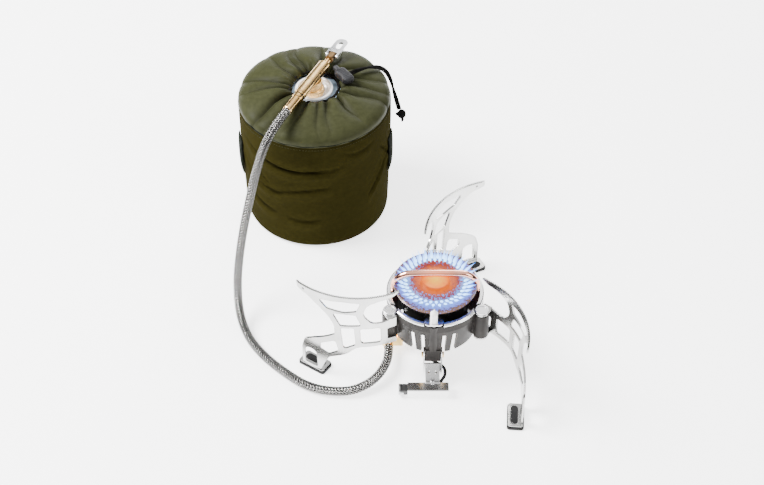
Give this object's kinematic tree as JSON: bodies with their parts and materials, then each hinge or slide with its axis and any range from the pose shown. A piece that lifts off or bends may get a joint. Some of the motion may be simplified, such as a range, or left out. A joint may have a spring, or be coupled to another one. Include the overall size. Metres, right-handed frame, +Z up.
{
  "type": "canister stove",
  "caption": "Remote gas stove: folding-leg burner with push igniter, braided hose, brass needle valve and a gas canister in a gathered fabric cover.",
  "frame": {"origin": "on the ground, under the middle of the stove and its canister", "axes": "+Z up, +X to the right of the igniter bar seen from its front, +Y from the burner towards the canister"},
  "size_m": [0.2314, 0.3253, 0.1411],
  "materials": {
    "housing_paint": "satin dark grey paint on die-cast metal",
    "bright_steel": "polished stainless steel",
    "leg_steel": "bright punched stainless sheet",
    "handle_steel": "polished steel",
    "black_steel": "gloss black heatproof enamel",
    "burner_brass": "brass, heat tinted",
    "glowing_disc": "glowing radiant disc",
    "plain_brass": "turned brass",
    "gold_brass": "polished brass",
    "heated_tube": "polished copper alloy, heat tinted",
    "steel_braid": "braided stainless wire",
    "black_rubber": "black rubber",
    "black_plastic": "black moulded plastic",
    "spring_steel": "spring wire",
    "grey_metal": "dull grey metal",
    "white_ceramic": "glazed white ceramic",
    "dark_bronze": "dark bronze",
    "canister_paint": "pale blue gloss paint",
    "cup_tin": "bright tinplate",
    "olive_fleece": "padded olive fabric, matt",
    "olive_nylon": "thin olive nylon with a soft sheen",
    "black_cord": "black braided cord",
    "lock_plastic": "dark grey textured plastic",
    "black_webbing": "black woven webbing"
  },
  "bodies": {
    "burner": {"burner_housing": "housing_paint", "rim_ring": "bright_steel", "burner_drum": "black_steel", "burner_head": "burner_brass", "burner_cup": "burner_brass", "radiant_disc": "glowing_disc", "mixing_tube": "plain_brass", "jet_holder": "plain_brass", "gas_jet": "plain_brass", "generator_tube": "heated_tube", "drum_straps": "bright_steel", "drum_screws": "bright_steel", "inlet_block": "plain_brass", "burner_ferrule": "gold_brass", "gas_hose": "steel_braid", "hose_ferrule": "gold_brass", "swivel_seal": "black_rubber", "igniter_bracket": "bright_steel", "igniter_screws": "gold_brass", "igniter_sleeve": "bright_steel", "igniter_body": "black_plastic", "igniter_spring": "spring_steel", "spark_electrode": "white_ceramic", "electrode_needle": "bright_steel", "electrode_clip": "bright_steel", "ignition_wire": "black_rubber"},
    "left_leg": {"leg_left": "leg_steel", "foot_pad_left": "black_rubber", "leg_pin_left": "bright_steel"},
    "right_leg": {"leg_right": "leg_steel", "foot_pad_right": "black_rubber", "leg_pin_right": "bright_steel"},
    "rear_leg": {"leg_rear": "leg_steel", "foot_pad_rear": "black_rubber", "leg_pin_rear": "bright_steel"},
    "push_button": {"igniter_button": "grey_metal", "igniter_plunger": "black_plastic"},
    "valve": {"valve_body": "gold_brass", "valve_collar": "gold_brass", "collar_gasket": "black_rubber", "depressor_pin": "plain_brass"},
    "spindle": {"valve_spindle": "gold_brass", "spindle_seal": "black_rubber", "handle_hub": "dark_bronze"},
    "handle": {"valve_handle": "handle_steel", "handle_pin": "bright_steel"},
    "canister": {"canister_shell": "canister_paint", "mounting_cup": "cup_tin", "canister_valve_stem": "black_plastic", "canister_valve_seal": "black_rubber", "canister_valve_housing": "black_plastic", "canister_valve_spring": "spring_steel", "cover_side": "olive_fleece", "cover_top": "olive_nylon", "drawcord": "black_cord", "drawcord_tail": "black_cord", "cord_knot": "black_cord", "cord_lock": "lock_plastic", "side_straps": "black_webbing"},
    "lock_button": {"cord_lock_button": "lock_plastic"}
  },
  "joints": [
    {"name": "left_leg_fold", "type": "hinge", "parent": "burner", "child": "left_leg", "pos_m": [0.01137, -0.0973, 0.051], "axis": [0, 0, -1], "range_deg": [0, 95]},
    {"name": "right_leg_fold", "type": "hinge", "parent": "burner", "child": "right_leg", "pos_m": [0.08203, -0.0973, 0.051], "axis": [0, 0, -1], "range_deg": [0, 65]},
    {"name": "rear_leg_fold", "type": "hinge", "parent": "burner", "child": "rear_leg", "pos_m": [0.0467, -0.0361, 0.051], "axis": [0, 0, -1], "range_deg": [0, 95]},
    {"name": "igniter_press", "type": "slide", "parent": "burner", "child": "push_button", "axis": [1, 0, 0], "range_m": [0, 0.0035], "stiffness_N_per_m": 800},
    {"name": "hose_swivel", "type": "hinge", "parent": "burner", "child": "valve", "pos_m": [-0.0507, 0.0992, 0.136], "axis": [0.4337, 0.9011, 0], "range_deg": [0, 180]},
    {"name": "canister_turn", "type": "hinge", "parent": "valve", "child": "canister", "pos_m": [-0.0507, 0.0992, 0.12], "axis": [0, 0, -1], "range_deg": [0, 80]},
    {"name": "valve_turn", "type": "hinge", "parent": "valve", "child": "spindle", "pos_m": [-0.0507, 0.0992, 0.136], "axis": [0.4337, 0.9011, 0], "range_deg": [-360, 360]},
    {"name": "handle_fold", "type": "hinge", "parent": "spindle", "child": "handle", "pos_m": [-0.03639, 0.12894, 0.136], "axis": [0.9011, -0.4337, 0], "range_deg": [0, 90]},
    {"name": "cord_lock_press", "type": "slide", "parent": "canister", "child": "lock_button", "axis": [0.5736, -0.8191, 0], "range_m": [0, 0.0035], "stiffness_N_per_m": 500}
  ]
}
